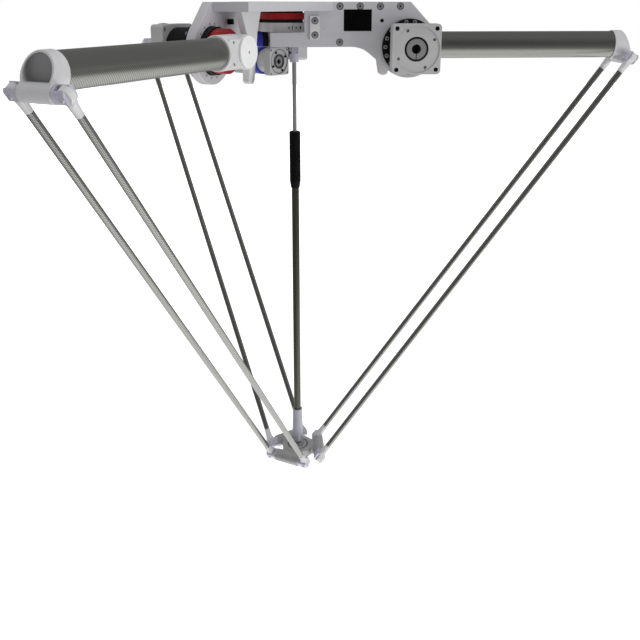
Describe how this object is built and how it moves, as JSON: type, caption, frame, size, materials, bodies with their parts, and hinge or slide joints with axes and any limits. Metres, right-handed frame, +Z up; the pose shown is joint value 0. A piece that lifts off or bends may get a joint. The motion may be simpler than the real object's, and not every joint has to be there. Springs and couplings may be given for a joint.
{
  "type": "delta robot",
  "caption": "Ceiling-hung delta robot: pinwheel frame with geared shoulders, carbon arms, paired carbon rods, light platform and a telescopic shaft that turns the tool.",
  "frame": {"origin": "centre of the ceiling face of the top plate, on the robot's centre line", "axes": "+Z up, out of the ceiling face; +X along the middle plane of station a; stations b and c follow at 120 and 240 degrees about +Z"},
  "size_m": [1.1879, 1.3704, 1.1264],
  "materials": {
    "frame_aluminium": "satin machined",
    "light_aluminium": "satin",
    "cast_aluminium": "smooth casting",
    "steel": "ground",
    "screw_steel": "bright",
    "carbon_tube": "clear-coated carbon weave",
    "black_anodised": "black anodised",
    "black_plastic": "matte",
    "red_anodised": "red anodised",
    "blue_anodised": "blue anodised",
    "cap_white": "smooth"
  },
  "bodies": {
    "base": {"top_plate": "frame_aluminium", "long_plate_a": "frame_aluminium", "long_plate_b": "frame_aluminium", "long_plate_c": "frame_aluminium", "stop_bracket_a": "light_aluminium", "stop_bracket_b": "light_aluminium", "stop_bracket_c": "light_aluminium", "gearbox_a": "black_anodised", "gearbox_b": "black_anodised", "gearbox_c": "black_anodised", "motor_adapter_a": "frame_aluminium", "motor_adapter_b": "frame_aluminium", "motor_adapter_c": "frame_aluminium", "cap_screws": "screw_steel", "case_strap": "light_aluminium", "axis4_gear_case": "light_aluminium", "axis4_core": "black_anodised", "axis4_cover": "red_anodised", "axis4_gearbox": "light_aluminium", "axis4_adapter": "frame_aluminium", "axis4_ring": "blue_anodised"},
    "arm_a": {"arm_root_a": "light_aluminium", "hub_ring_a": "red_anodised", "hub_cap_a": "cap_white", "arm_tube_a": "carbon_tube", "elbow_casting_a": "cast_aluminium"},
    "rods_a": {"rod_tube_a1": "carbon_tube", "rod_tube_a2": "carbon_tube", "rod_ends_a": "light_aluminium", "rod_blocks_a": "steel"},
    "arm_b": {"arm_root_b": "light_aluminium", "hub_ring_b": "blue_anodised", "hub_cap_b": "cap_white", "arm_tube_b": "carbon_tube", "elbow_casting_b": "cast_aluminium"},
    "rods_b": {"rod_tube_b1": "carbon_tube", "rod_tube_b2": "carbon_tube", "rod_ends_b": "light_aluminium", "rod_blocks_b": "steel"},
    "arm_c": {"arm_root_c": "light_aluminium", "hub_ring_c": "red_anodised", "hub_cap_c": "cap_white", "arm_tube_c": "carbon_tube", "elbow_casting_c": "cast_aluminium"},
    "rods_c": {"rod_tube_c1": "carbon_tube", "rod_tube_c2": "carbon_tube", "rod_ends_c": "light_aluminium", "rod_blocks_c": "steel"},
    "platform": {"platform": "cast_aluminium"},
    "drive_shaft": {"inner_shaft": "steel", "drive_yoke": "steel", "shaft_yoke": "steel"},
    "tool_shaft": {"tool_flange": "light_aluminium", "shaft_fitting": "light_aluminium", "shaft_tube": "carbon_tube", "guide_sleeve": "black_plastic"},
    "input_a": {"input_hub_a": "steel"},
    "input_b": {"input_hub_b": "steel"},
    "input_c": {"input_hub_c": "steel"},
    "input_4": {"axis4_input_hub": "steel"}
  },
  "joints": [
    {"name": "shoulder_a", "type": "hinge", "parent": "base", "child": "arm_a", "pos_m": [0.243, 0, -0.092], "axis": [0, 1, 0], "range_deg": [-5, 15]},
    {"name": "shoulder_b", "type": "hinge", "parent": "base", "child": "arm_b", "pos_m": [-0.1215, 0.21044, -0.092], "axis": [-0.866, -0.5, 0], "range_deg": [-5, 15]},
    {"name": "shoulder_c", "type": "hinge", "parent": "base", "child": "arm_c", "pos_m": [-0.1215, -0.21044, -0.092], "axis": [0.866, -0.5, 0], "range_deg": [-5, 15]},
    {"name": "elbow_a", "type": "hinge", "parent": "arm_a", "child": "rods_a", "pos_m": [0.745, 0, -0.119], "axis": [0, 1, 0], "range_deg": [-17, 6]},
    {"name": "elbow_b", "type": "hinge", "parent": "arm_b", "child": "rods_b", "pos_m": [-0.3725, 0.64519, -0.119], "axis": [-0.866, -0.5, 0], "range_deg": [-17, 6]},
    {"name": "elbow_c", "type": "hinge", "parent": "arm_c", "child": "rods_c", "pos_m": [-0.3725, -0.64519, -0.119], "axis": [0.866, -0.5, 0], "range_deg": [-17, 6]},
    {"name": "platform_drop", "type": "slide", "parent": "base", "child": "platform", "axis": [0, 0, -1], "range_m": [-0.0478, 0.1428]},
    {"name": "axis4_turn", "type": "hinge", "parent": "base", "child": "drive_shaft", "pos_m": [0, 0, -0.099], "axis": [0, 0, 1], "continuous": true},
    {"name": "tool_turn", "type": "hinge", "parent": "platform", "child": "tool_shaft", "pos_m": [0, 0, -1.099], "axis": [0, 0, 1], "continuous": true},
    {"name": "motor_input_a", "type": "hinge", "parent": "base", "child": "input_a", "pos_m": [0.243, -0.16, -0.092], "axis": [0, 1, 0], "range_deg": [-156, 466]},
    {"name": "motor_input_b", "type": "hinge", "parent": "base", "child": "input_b", "pos_m": [0.01706, 0.29044, -0.092], "axis": [-0.866, -0.5, 0], "range_deg": [-156, 466]},
    {"name": "motor_input_c", "type": "hinge", "parent": "base", "child": "input_c", "pos_m": [-0.26006, -0.13044, -0.092], "axis": [0.866, -0.5, 0], "range_deg": [-156, 466]},
    {"name": "motor_input_4", "type": "hinge", "parent": "base", "child": "input_4", "pos_m": [-0.033, -0.025, -0.125], "axis": [0.7071, -0.7071, 0], "continuous": true}
  ],
  "couplings": [
    {"joint": "shoulder_b", "follows": "shoulder_a", "ratio": 1},
    {"joint": "shoulder_c", "follows": "shoulder_a", "ratio": 1},
    {"joint": "elbow_a", "follows": "shoulder_a", "ratio": -1.0713},
    {"joint": "elbow_b", "follows": "shoulder_a", "ratio": -1.0713},
    {"joint": "elbow_c", "follows": "shoulder_a", "ratio": -1.0713},
    {"joint": "platform_drop", "follows": "shoulder_a", "m_per_rad": 0.5441},
    {"joint": "tool_turn", "follows": "axis4_turn", "ratio": 1},
    {"joint": "motor_input_a", "follows": "shoulder_a", "ratio": 31},
    {"joint": "motor_input_b", "follows": "shoulder_a", "ratio": 31},
    {"joint": "motor_input_c", "follows": "shoulder_a", "ratio": 31},
    {"joint": "motor_input_4", "follows": "axis4_turn", "ratio": 8}
  ]
}
